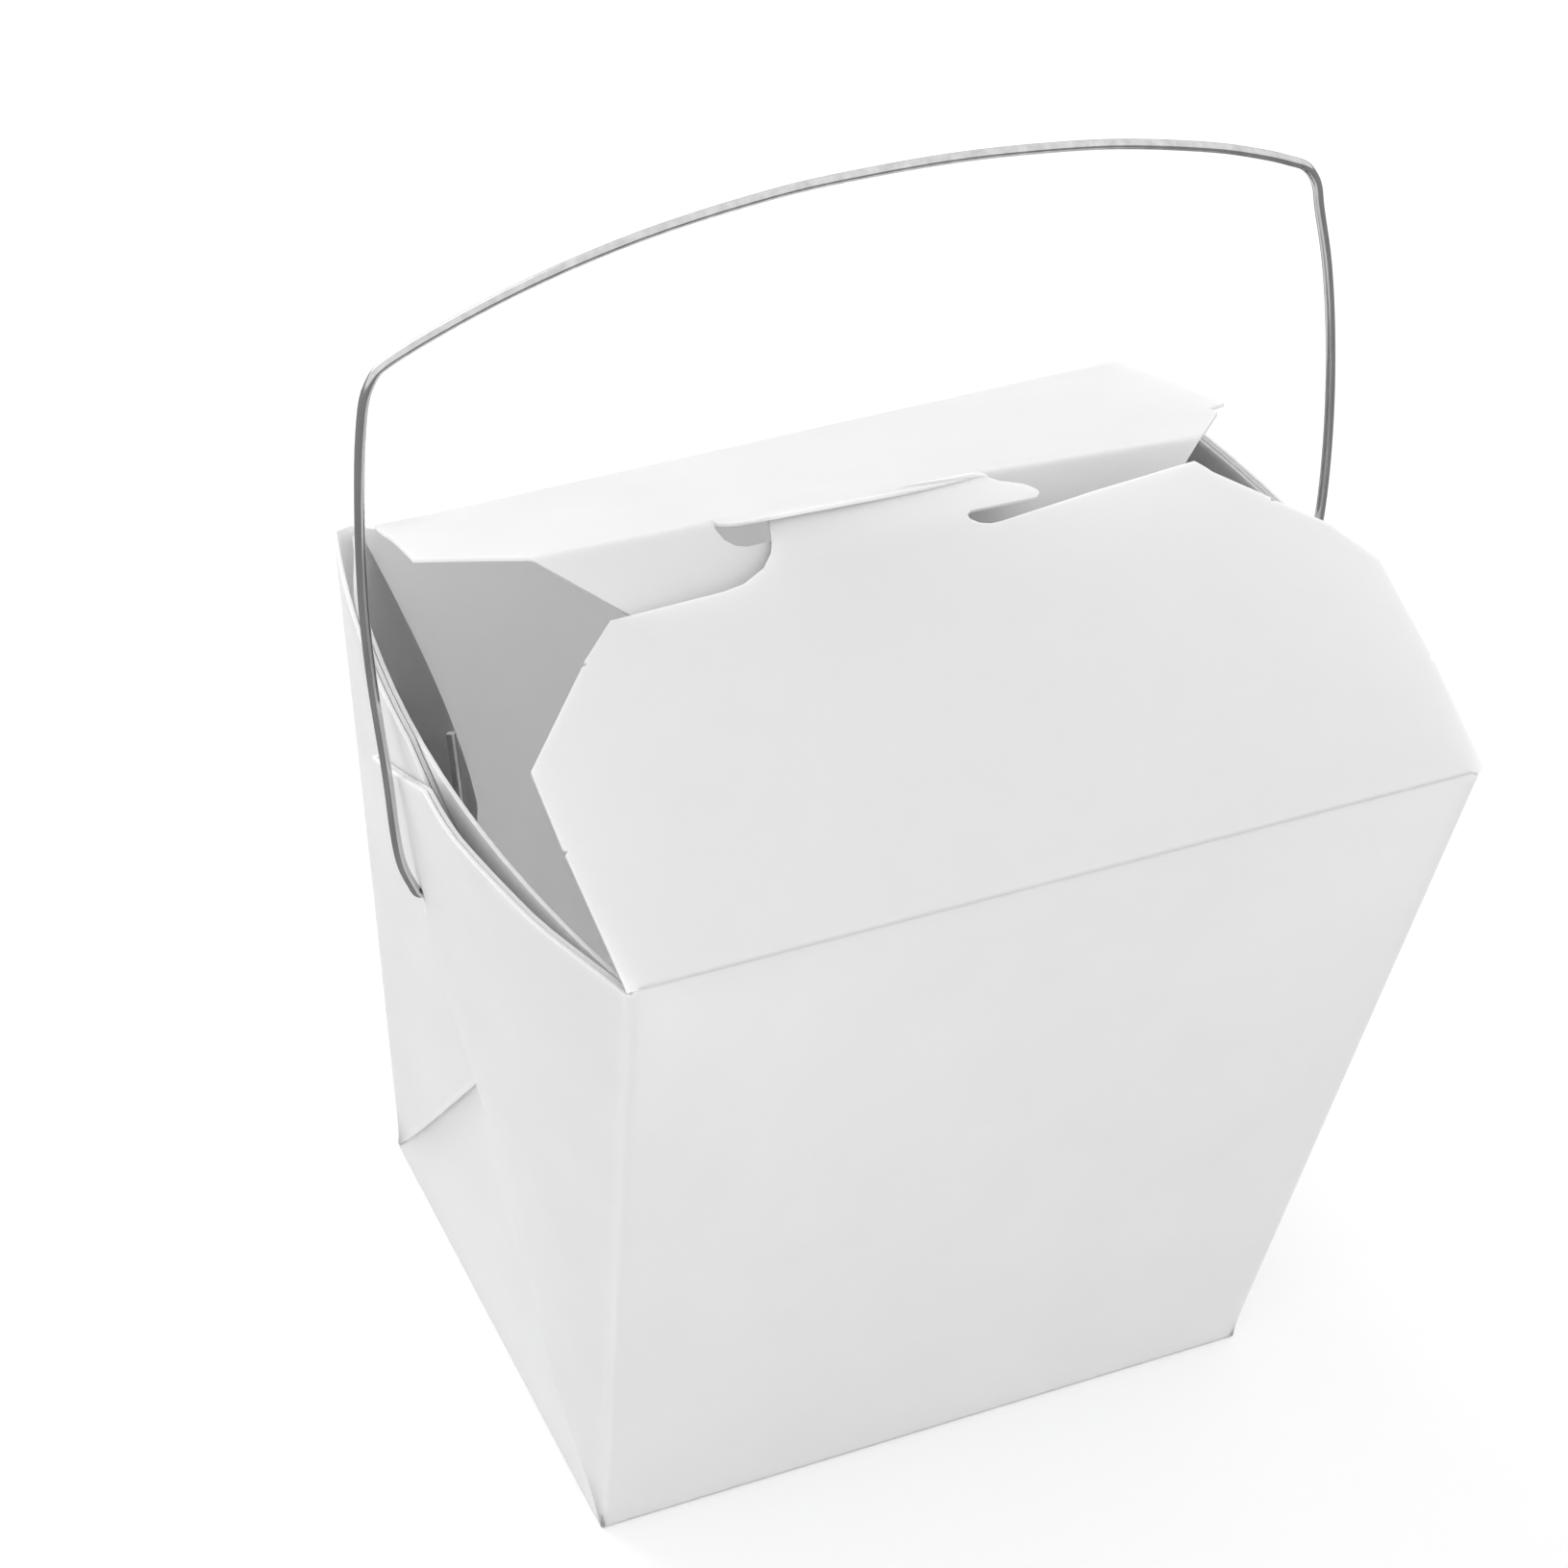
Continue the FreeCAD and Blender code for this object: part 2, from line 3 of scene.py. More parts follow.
import bmesh
import bpy
from mathutils import Matrix, Vector


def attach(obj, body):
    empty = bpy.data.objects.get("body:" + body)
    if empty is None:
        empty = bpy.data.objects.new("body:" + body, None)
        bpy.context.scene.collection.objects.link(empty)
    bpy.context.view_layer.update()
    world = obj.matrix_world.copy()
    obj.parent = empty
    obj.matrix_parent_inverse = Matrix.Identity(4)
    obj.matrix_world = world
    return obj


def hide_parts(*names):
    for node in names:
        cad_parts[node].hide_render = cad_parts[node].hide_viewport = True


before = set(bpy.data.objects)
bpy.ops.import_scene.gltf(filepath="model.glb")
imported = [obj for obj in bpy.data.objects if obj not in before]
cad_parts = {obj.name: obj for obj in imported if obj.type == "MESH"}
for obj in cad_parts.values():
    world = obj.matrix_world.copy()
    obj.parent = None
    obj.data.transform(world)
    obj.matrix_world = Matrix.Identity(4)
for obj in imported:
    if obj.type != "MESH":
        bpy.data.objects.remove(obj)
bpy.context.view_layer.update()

# Lengths are in millimetres until a mesh is finished, then it is scaled to metres
millimetre = 0.001

# The board's own measures, and those that every part of the box is laid out by

board = {
    "thickness": 0.42,
    "pitch": 0.52,
    "height": 87.2,
    "sideTop": 86.4,
    "halfDepth": 29.1,
    "flare": 7.6,
    "rimWidth": 90.0,
    "sharpAngle": 38,
}


def lerp(a, b, share):
    return a + (b - a) * share


def smooth(share):
    share = min(1.0, max(0.0, share))
    return share * share * (3 - 2 * share)


def halfDepthAt(z):
    return board["halfDepth"] + board["flare"] * z / board["height"]


def finishMesh(bm, name):
    mesh = bpy.data.meshes.new(name)
    bm.to_mesh(mesh)
    bm.free()
    mesh.transform(Matrix.Scale(millimetre, 4))
    piece = bpy.data.objects.new(name, mesh)
    bpy.context.scene.collection.objects.link(piece)
    return piece


def thicken(piece, thickness):
    solid = piece.modifiers.new("thickness", "SOLIDIFY")
    solid.thickness = thickness * millimetre
    solid.offset = 0.0
    solid.use_quality_normals = True
    bpy.context.view_layer.update()
    graph = bpy.context.evaluated_depsgraph_get()
    mesh = bpy.data.meshes.new_from_object(piece.evaluated_get(graph), depsgraph=graph)
    piece.modifiers.clear()
    old = piece.data
    piece.data = mesh
    bpy.data.meshes.remove(old)
    mesh.name = piece.name
    outward = bmesh.new()
    outward.from_mesh(mesh)
    bmesh.ops.recalc_face_normals(outward, faces=outward.faces[:])
    outward.to_mesh(mesh)
    outward.free()
    for polygon in mesh.polygons:
        polygon.use_smooth = True
    mesh.set_sharp_from_angle(angle=math.radians(board["sharpAngle"]))


# The box as it stands: its corners from the base to the rim, a little askew as the folded one is

box = {
    "frontLeft": (Vector((-37.5, -29.1, 0)), Vector((-43.5, -36.7, 87.2))),
    "frontRight": (Vector((37.5, -29.1, 0)), Vector((46.5, -36.7, 87.2))),
    "backLeft": (Vector((-37.5, 29.1, 0)), Vector((-45.4, 33.4, 88.0))),
    "backRight": (Vector((37.5, 29.1, 0)), Vector((46.5, 38.4, 82.4))),
    "bottomRound": 0.45,
    "frontTop": 87.0,
    "foldShift": Vector((1.9, -0.4, -0.8)),
    "backPress": 1.0,
    "pressRun": 0.035,
}

# Each side bulges out towards its rim, and carries two folded gussets of two plies each

sides = {
    "right": {
        "sign": 1, "front": "frontRight", "back": "backRight",
        "bow": 5.2, "standOff": 0.5, "slack": 3.0, "bulge": 0.5,
    },
    "left": {
        "sign": -1, "front": "frontLeft", "back": "backLeft",
        "bow": 5.4, "standOff": 0.7, "slack": 11.5, "bulge": 1.1,
    },
}

gusset = {
    "creaseSlope": 0.70,
    "tipHeight": 69.96,
    "cutTopRun": 25.5,
    "ramp": 14.0,
    "bowStart": 35.0,
    "bowPower": 1.35,
    "heldFrom": 26.0,
    "heldRun": 12.0,
    "cornerRadius": 0.5,
    "plyColumns": 14,
    "sideColumns": 26,
    "slackRun": 13.0,
    "slackFrom": 25.0,
    "slackRise": 30.0,
    "slackHeight": 90.0,
    "slackWay": (0.8, 0.6),
    "dent": 0.45,
    "dentStart": 0.2,
    "dentRun": 2.5,
    "dentRise": 6.0,
    "standFrom": 40.0,
    "standRise": 45.0,
    "standRun": 25.0,
    "bulgeRise": 25.0,
    "bulgeTop": 80.0,
    "squeezeWidth": 8.0,
    "tightWidth": 2.5,
    "foldRoom": 1.2,
}


def cornerAt(name, z):
    low, high = box[name]
    return low.lerp(high, z / board["height"])


def gussetWidth(z):
    tip = gusset["tipHeight"]
    atTip = gusset["creaseSlope"] * tip
    if z <= tip:
        reach = gusset["creaseSlope"] * z
    else:
        reach = lerp(atTip, gusset["cutTopRun"], (z - tip) / (board["sideTop"] - tip))
    return max(0.25, reach + halfDepthAt(z) - board["halfDepth"])


def sidePoint(side, end, run, z, depth):
    # run is the distance from the front corner (end -1) or from the back corner (end 1)
    station = -end * (run / halfDepthAt(z) - 1)
    front = cornerAt(side["front"], z)
    back = cornerAt(side["back"], z)
    point = front.lerp(back, (station + 1) / 2)
    climb = max(0.0, (z - gusset["bowStart"]) / (board["height"] - gusset["bowStart"]))
    point.x += side["sign"] * (side["bow"] * climb ** gusset["bowPower"] * (1 - station ** 2) - depth)
    return point


# The side's back crease stands slack, drawn into the box from the corner that it was folded into

def slackened(side, point, run, z, reach):
    loose = math.sin(math.pi * z / gusset["slackHeight"])
    loose *= smooth((z - gusset["slackFrom"]) / gusset["slackRise"])
    pull = side["slack"] * loose * (1 - smooth(run / reach))
    inward, forward = gusset["slackWay"]
    return point + Vector((-side["sign"] * inward * pull, -forward * pull, 0))


# Below the gussets' creases the side is one ply, and it lies a little further in

def dentOf(z, station):
    depth = halfDepthAt(z)
    low = gusset["creaseSlope"] * z + depth - board["halfDepth"]
    inside = min(station + 1, 1 - station) * depth - low
    across = smooth(inside / gusset["dentRun"] + gusset["dentStart"])
    return gusset["dent"] * across * smooth(z / gusset["dentRise"])


# A front gusset lies over the back one, stands off a little at the rim and bulges between its folds

def liftOf(side, end, run, z):
    if end > 0:
        return 0.0
    share = run / (gusset["ramp"] * halfDepthAt(z) / halfDepthAt(board["height"]))
    held = smooth((run - gusset["heldFrom"]) / gusset["heldRun"])
    rise = smooth((z - gusset["standFrom"]) / gusset["standRise"])
    stand = side["standOff"] * rise * min(1.0, run / gusset["standRun"]) ** 2 * (1 - held)
    full = smooth(z / gusset["bulgeRise"]) * smooth((gusset["bulgeTop"] - z) / gusset["bulgeRise"])
    arc = side["bulge"] * full * math.sin(math.pi * min(1.0, run / gussetWidth(z)))
    return 2 * board["pitch"] * smooth(share) + stand + arc


# Folds squeeze towards the base, where a gusset narrows to nothing

def squeezed(z):
    return min(1.0, gussetWidth(z) / gusset["squeezeWidth"])


def tight(z):
    return min(1.0, gussetWidth(z) / gusset["tightWidth"])


def innerEdge(z):
    return 1.5 * board["pitch"] * gusset["foldRoom"] * tight(z)


# A column is a line of the sheet from base to rim; a broken one ends where the gusset's plies part

def column(place, broken=False, top=None):
    return {"place": place, "broken": broken, "top": top or board["sideTop"]}


def gussetColumns(side, end):
    half = board["thickness"] / 2
    pitch = board["pitch"]
    turn = pitch / 2
    columns = []

    def bend(angle):
        def place(z):
            radius = gusset["cornerRadius"] * tight(z)
            run = half + radius * (1 - math.cos(angle))
            return sidePoint(side, end, run, z, half + radius * (1 - math.sin(angle)))
        return place

    def ply(share, inner):
        def place(z):
            first = innerEdge(z) if inner else (half + gusset["cornerRadius"]) * tight(z)
            last = gussetWidth(z) - turn * tight(z)
            run = lerp(first, last, share)
            depth = half + (pitch * squeezed(z) if inner else 0.0) - liftOf(side, end, run, z)
            point = sidePoint(side, end, run, z, depth)
            if inner and end > 0:
                point = slackened(side, point, run - first, z, min(gusset["slackRun"], last - first))
            return point
        return place

    def outerTurn(angle):
        def place(z):
            width = gussetWidth(z)
            run = width - turn * tight(z) * (1 - math.sin(angle))
            depth = half + pitch * squeezed(z) * (1 - math.cos(angle)) / 2 - liftOf(side, end, run, z)
            return sidePoint(side, end, run, z, depth)
        return place

    def innerTurn(angle):
        def place(z):
            run = innerEdge(z) - turn * math.sin(angle) * tight(z)
            depth = half + pitch * squeezed(z) * (1 + (1 - math.cos(angle)) / 2)
            point = sidePoint(side, end, run, z, depth)
            return slackened(side, point, 0.0, z, 1.0) if end > 0 else point
        return place

    def shares(count):
        return [i / (count - 1) for i in range(count)]

    for angle in (0, 22.5, 45, 67.5):
        columns.append(column(bend(math.radians(angle))))
    for share in shares(gusset["plyColumns"]):
        columns.append(column(ply(share, False)))
    for angle in (45, 90, 135):
        columns.append(column(outerTurn(math.radians(angle)), broken=True))
    for share in reversed(shares(gusset["plyColumns"])):
        columns.append(column(ply(share, True)))
    for angle in (45, 90, 135):
        columns.append(column(innerTurn(math.radians(angle))))
    return columns


def sideColumns(side):
    half = board["thickness"] / 2
    count = gusset["sideColumns"]
    columns = []
    for i in range(count):
        share = (1 - math.cos(math.pi * i / (count - 1))) / 2

        def place(z, share=share):
            first = innerEdge(z)
            last = 2 * halfDepthAt(z) - first
            run = lerp(first, last, share)
            station = run / halfDepthAt(z) - 1
            depth = half + 2 * board["pitch"] * squeezed(z) + dentOf(z, station)
            point = sidePoint(side, -1, run, z, depth)
            return slackened(side, point, last - run, z, gusset["slackRun"])
        columns.append(column(place))
    return columns


# The back wall's top is pressed in at the left, where the back flap's fold starts

def foldedIn(across, z):
    pressed = box["foldShift"] - Vector((0, box["backPress"], 0))
    return pressed * (1 - across) * smooth(across / box["pressRun"]) * (z / board["height"]) ** 2


wallShares = [-0.975, -0.945] + [i / 10 for i in range(-8, 9, 2)] + [0.93, 0.975]


def wallPoint(left, right, share, z, inward):
    point = cornerAt(left, z).lerp(cornerAt(right, z), share)
    point.y += inward * board["thickness"] / 2
    return point


def wallColumns(left, right, inward, top):
    columns = []
    for share in wallShares:
        def place(z, share=share):
            across = (share + 1) / 2
            point = wallPoint(left, right, across, z, inward)
            if inward < 0:
                point += foldedIn(across, z)
            return point
        columns.append(column(place, top=top))
    return columns


def rowHeights():
    rows = [0.21, 0.3, 0.42, 0.6, 1.2, 2.2, 3.5, 5.0, 7.0, 10.0]
    rows += [14, 18, 22, 26, 30, 34, 38, 42, 46, 50, 54, 58, 61, 63, 65, 67, 68.6]
    rows += [gusset["tipHeight"], 71.5, 73.5, 76, 78.5, 81, 83.5, 85.2, board["sideTop"]]
    return rows


def roundBottom(point, z):
    radius = box["bottomRound"]
    if z < radius:
        inset = radius - math.sqrt(radius ** 2 - (radius - z) ** 2) if z > 0 else radius
        point.x -= math.copysign(inset, point.x)
        point.y -= math.copysign(inset, point.y)
    return point


def makeWalls(bm):
    front = wallColumns("frontLeft", "frontRight", 1, box["frontTop"])
    back = wallColumns("backLeft", "backRight", -1, board["height"])
    right = gussetColumns(sides["right"], -1) + sideColumns(sides["right"])
    right += reversed(gussetColumns(sides["right"], 1))
    left = gussetColumns(sides["left"], -1) + sideColumns(sides["left"])
    left += reversed(gussetColumns(sides["left"], 1))
    columns = front + right + back[::-1] + left[::-1]
    rows = rowHeights()
    grid = []
    for line in columns:
        scale = line["top"] / board["sideTop"]
        grid.append([bm.verts.new(roundBottom(line["place"](z * scale), z)) for z in rows])
    tip = rows.index(gusset["tipHeight"])
    for i, line in enumerate(columns):
        following = (i + 1) % len(columns)
        broken = line["broken"] or columns[following]["broken"]
        for j in range(len(rows) - 1):
            if broken and j >= tip:
                continue
            bm.faces.new((grid[i][j], grid[following][j], grid[following][j + 1], grid[i][j + 1]))
    loose = [v for v in bm.verts if not v.link_faces]
    bmesh.ops.delete(bm, geom=loose, context="VERTS")


# Back flap with its tab, and past its ridge the lip that the tab was cut from, laid flat then folded

roof = {
    "riseLeft": 29.0,
    "riseRight": 22.7,
    "fold": 0.5,
    "ridge": 30.4,
    "ridgeFold": 0.9,
    "ridgeArch": 0.8,
    "lipFall": 38.0,
    "wallBelow": 80.0,
    "liftOff": 12.0,
    "tabFlat": 1.35,
    "tabDepth": 3.5,
    "tabRight": 11.0,
    "tabWidth": 26.0,
    "tabSlide": 1.2,
    "panelRight": [(-42.525, 0), (45, 0), (46, 21.4), (43.4, 22.3), (43.7, 23.9), (38.1, 30.4)],
    "panelLeft": [(-38.1, 30.4), (-46, 21.4)],
    "lip": [(-38.1, 30.4), (-22.0, 44.4), (22.0, 44.4), (38.1, 30.4)],
    "tab": [
        (11.4, 30.4), (11.4, 32.9), (-15.4, 33.9), (-16.6, 33.6), (-17.6, 32.8), (-18.2, 31.6),
        (-18.2, 30.4),
    ],
    "panelRows": [0.15, 0.3, 0.5, 5, 10, 15, 20, 25, 29, 30.4],
    "lipRows": [30.6, 30.8, 31.1, 31.4, 33, 36, 40],
}


def layFlat(bm, outline, xs, ds):
    bm.faces.new([bm.verts.new((x, d, 0)) for x, d in outline])
    cuts = [((x, 0, 0), (1, 0, 0)) for x in xs] + [((0, d, 0), (0, 1, 0)) for d in ds]
    for place, across in cuts:
        geometry = bm.verts[:] + bm.edges[:] + bm.faces[:]
        bmesh.ops.bisect_plane(bm, geom=geometry, dist=1e-4, plane_co=place, plane_no=across)


def bendPath(start, first, second, length, run):
    if run < length:
        return start + first * (run - run ** 2 / (2 * length)) + second * (run ** 2 / (2 * length))
    return start + first * (length / 2) + second * (run - length / 2)


def roofPoint(x, d, lip):
    share = x / board["rimWidth"] + 0.5
    fold = wallPoint("backLeft", "backRight", share, board["height"], -1)
    below = wallPoint("backLeft", "backRight", share, roof["wallBelow"], -1)
    wallUp = (fold - below).normalized()
    rise = math.radians(lerp(roof["riseLeft"], roof["riseRight"], share))
    up = Vector((0, -math.cos(rise), math.sin(rise)))
    fall = math.radians(roof["lipFall"])
    down = Vector((0, -math.cos(fall), -math.sin(fall)))
    ridge = roof["ridge"]
    if lip:
        crest = bendPath(fold, wallUp, up, roof["fold"], ridge)
        point = bendPath(crest, up, down, roof["ridgeFold"], d - ridge)
    else:
        point = bendPath(fold, wallUp, up, roof["fold"], d)
    settled = box["foldShift"] * (1 - share)
    point += foldedIn(share, board["height"]).lerp(settled, smooth(d / roof["liftOff"]))
    point.z += roof["ridgeArch"] * (1 - (2 * share - 1) ** 2) * smooth(min(d, ridge) / ridge)
    if d > ridge and not lip:
        tab = roof["tabFlat"] * (d - ridge) / roof["tabDepth"]
        tab *= (roof["tabRight"] - x) / roof["tabWidth"]
        point += Vector((0, roof["tabSlide"] * tab, -tab))
    return point


def makeRoof(bm):
    xs = [share * board["rimWidth"] / 2 for share in wallShares]
    xs += [roof["tab"][-1][0], roof["tab"][0][0]]
    panel = bmesh.new()
    layFlat(panel, roof["panelRight"] + roof["tab"] + roof["panelLeft"], xs, roof["panelRows"])
    lip = bmesh.new()
    layFlat(lip, roof["lip"] + roof["tab"], xs, roof["lipRows"])
    for part, isLip in ((panel, False), (lip, True)):
        made = {}
        for vertex in part.verts:
            made[vertex] = bm.verts.new(roofPoint(vertex.co.x, vertex.co.y, isLip))
        for face in part.faces:
            bm.faces.new([made[v] for v in face.verts])
        part.free()


def makeBase(bm):
    corner = box["frontRight"][0]
    inset = board["thickness"] * 0.9
    half = board["thickness"] / 2
    x = corner.x - inset
    y = -corner.y - inset
    rows = [[bm.verts.new((x * i / 6, y * j / 5, half)) for i in range(-6, 7)] for j in range(-5, 6)]
    for a, b in zip(rows, rows[1:]):
        for i in range(len(a) - 1):
            bm.faces.new((a[i], a[i + 1], b[i + 1], b[i]))


# The wire's holes, punched through every ply of a side, and the slit that tore below the left one

hole = {"y": 4.0, "z": 64.0, "radius": 0.85, "wallFrom": 36.0, "near": 5.0}
slit = {"y": 4.4, "z": 61.6, "halfWidth": 0.16, "halfHeight": 1.7}


def cutPlies(bm, x, centre, normals, sizes):
    def near():
        middle = Vector(centre)
        faces = []
        for face in bm.faces:
            point = face.calc_center_median()
            away = min((Vector((v.co.y, v.co.z)) - middle).length for v in face.verts)
            if point.x * x > hole["wallFrom"] and abs(face.normal.x) > 0.3 and away < hole["near"]:
                faces.append(face)
        return faces
    for normal, size in zip(normals, sizes):
        for way in (1, -1):
            faces = near()
            edges = {e for f in faces for e in f.edges}
            corners = {v for f in faces for v in f.verts}
            geometry = list(edges | corners) + faces
            origin = (0, centre[0] + way * size * normal[0], centre[1] + way * size * normal[1])
            bmesh.ops.bisect_plane(bm, geom=geometry, dist=1e-4, plane_co=origin, plane_no=(0, *normal))
    inside = []
    for face in near():
        point = face.calc_center_median()
        offset = (point.y - centre[0], point.z - centre[1])
        if all(abs(offset[0] * n[0] + offset[1] * n[1]) < size for n, size in zip(normals, sizes)):
            inside.append(face)
    bmesh.ops.delete(bm, geom=inside, context="FACES")


def makeHoles(bm):
    normals = [(math.cos(math.radians(a)), math.sin(math.radians(a))) for a in (0, 45, 90, 135)]
    for x in (-1, 1):
        bm.normal_update()
        cutPlies(bm, x, (hole["y"], hole["z"]), normals, [hole["radius"]] * 4)
    bm.normal_update()
    cutPlies(bm, -1, (slit["y"], slit["z"]), [(1, 0), (0, 1)], [slit["halfWidth"], slit["halfHeight"]])


def makeCarton():
    bm = bmesh.new()
    makeWalls(bm)
    makeRoof(bm)
    bmesh.ops.remove_doubles(bm, verts=bm.verts[:], dist=0.01)
    makeHoles(bm)
    makeBase(bm)
    bmesh.ops.recalc_face_normals(bm, faces=bm.faces[:])
    piece = finishMesh(bm, "cartonBoard")
    thicken(piece, board["thickness"])
    return piece


print("carton")
cartonBoard = makeCarton()
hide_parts("carton")
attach(cartonBoard, "carton")


# Front flap: a leaf with its tongue, bent flatter past a soft crease so that it lies under the tab

flap = {
    "riseLeft": 14.8,
    "riseRight": 18.8,
    "softCrease": 38.6,
    "softLength": 3.0,
    "tongueLeft": 12.0,
    "tongueRight": -3.5,
    "tongueFrom": -13.0,
    "tongueWidth": 28.0,
    "curl": 0.25,
    "outline": [
        (-45, -0.25), (45, -0.25), (45.5, 12.2), (45.1, 12.5), (45.5, 12.8), (45.2, 24.3), (42.0, 29.5),
        (37.9, 33.3), (37.3, 33.5), (37.4, 33.9), (32.9, 38.2), (31.7, 40.0), (20, 39.3), (9.9, 38.5),
        (8.6, 38.5), (7.5, 38.9), (6.8, 39.6), (6.8, 40.2), (7.4, 40.6), (9.9, 40.5), (14.4, 40.3),
        (14.9, 40.7), (14.9, 41.3), (14.1, 42.5), (12.9, 43.3), (12.1, 43.7), (10.2, 45.8), (5.0, 45.8),
        (-12.2, 45.4), (-12.6, 44.1), (-13.1, 42.4), (-13.7, 41.2), (-15.1, 39.7), (-17.7, 38.5),
        (-20, 38.2), (-31.6, 38.1), (-35.7, 34.4), (-35.5, 34.0), (-36.1, 33.9), (-44.9, 24.3),
        (-45.1, 15.5), (-44.7, 15.2), (-45.1, 14.9),
    ],
    "columns": [-36, -27, -18, -13, -9, 0, 6, 9, 12, 18, 27, 36],
    "rows": [
        -0.15, -0.05, 0.05, 0.15, 0.25, 6, 12, 18, 24, 30, 34,
        38.6, 39.2, 39.8, 40.4, 41, 41.6, 43, 45,
    ],
}


def flapPoint(x, d):
    share = x / board["rimWidth"] + 0.5
    start = wallPoint("frontLeft", "frontRight", share, board["height"], 1)
    start.z = box["frontTop"]
    rise = math.radians(lerp(flap["riseLeft"], flap["riseRight"], share))
    up = Vector((0, math.cos(rise), math.sin(rise)))
    crease = flap["softCrease"]
    if d <= crease:
        return bendPath(start, Vector((0, 0, 1)), up, 2 * flap["curl"], d + flap["curl"])
    start.z += flap["curl"]
    alongTongue = (x - flap["tongueFrom"]) / flap["tongueWidth"]
    tongue = math.radians(lerp(flap["tongueLeft"], flap["tongueRight"], alongTongue))
    flatter = Vector((0, math.cos(tongue), math.sin(tongue)))
    return bendPath(start + up * crease, up, flatter, flap["softLength"], d - crease)


def makeFlap():
    flat = bmesh.new()
    layFlat(flat, flap["outline"], flap["columns"], flap["rows"])
    for vertex in flat.verts:
        vertex.co = flapPoint(vertex.co.x, vertex.co.y)
    piece = finishMesh(flat, "frontFlapBoard")
    thicken(piece, board["thickness"])
    return piece


print("front flap")
frontFlapBoard = makeFlap()
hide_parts("front_flap")
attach(frontFlapBoard, "front_flap")


# Wire bail: its line is laid in its own plane, x across and s up from the pivots, and swept

bail = {
    "radius": 0.5,
    "lean": 5.0,
    "left": [
        (-47.5, 1.3), (-48.6, 4.2), (-49.3, 8.2), (-50.1, 15.8), (-51.5, 26.8), (-52.3, 35.9),
        (-52.6, 45.7), (-52.4, 55.3), (-51.5, 60.3),
    ],
    "arch": [
        (-48.6, 62.8), (-37.5, 67.1), (-25.2, 70.2), (-12.1, 71.9), (-2.1, 72.2), (8.1, 71.9),
        (18.5, 70.85), (26.1, 69.6), (34.8, 67.5), (40.5, 65.6), (43.6, 64.3), (45.4, 63.4),
    ],
    "right": [
        (46.5, 62.1), (47.2, 60.6), (47.8, 58.0), (49.5, 51.5), (50.95, 43.6), (52.1, 34.6),
        (52.7, 26.0), (52.7, 19.0), (52.0, 11.5), (50.5, 5.2), (49.1, 1.4),
    ],
    "stubAt": 41.4,
    "stubLength": 15.5,
    "stubLean": 25.0,
    "bend": 1.5,
    "inHole": 1.6,
    "pastHole": (0.6, 0.2),
    "steps": 5,
    "around": 16,
    "sharpAngle": 50,
}


def inBailPlane(x, s, lean):
    angle = math.radians(lean)
    return Vector((x, hole["y"] + s * math.sin(angle), hole["z"] + s * math.cos(angle)))


# One end of the wire: the stub up the inside, the bend below it, and the run out through the hole

def bailEnd(side, foot):
    stubAt = bail["stubAt"]
    bend = bail["bend"]
    run = []
    for i in range(5):
        run.append(inBailPlane(side * stubAt, lerp(bail["stubLength"], bend, i / 4), bail["stubLean"]))
    for angle in (30, 60, 90):
        turn = math.radians(angle)
        x = stubAt + bend * (1 - math.cos(turn))
        run.append(inBailPlane(side * x, bend * (1 - math.sin(turn)), bail["stubLean"]))
    run.append(inBailPlane(side * (foot - bail["inHole"]), 0.0, 0.0))
    back, rise = bail["pastHole"]
    run.append(inBailPlane(side * (foot - back), rise, bail["lean"]))
    return run


def bailLine():
    left = bailEnd(-1, abs(bail["left"][0][0]))
    right = bailEnd(1, bail["right"][-1][0])
    middle = [inBailPlane(x, s, bail["lean"]) for x, s in bail["left"] + bail["arch"] + bail["right"]]
    return left + middle + right[::-1]


# A smooth line through the given points

def throughPoints(points, steps):
    line = []
    last = len(points) - 1
    for i in range(last):
        a = points[max(i - 1, 0)]
        b = points[i]
        c = points[i + 1]
        d = points[min(i + 2, last)]
        for k in range(steps):
            t = k / steps
            square = (2 * a - 5 * b + 4 * c - d) * t ** 2
            cube = (3 * b - a - 3 * c + d) * t ** 3
            line.append(0.5 * (2 * b + (c - a) * t + square + cube))
    line.append(points[-1])
    return line


# A tree that sweeps a round wire of the given radius along a line of edges

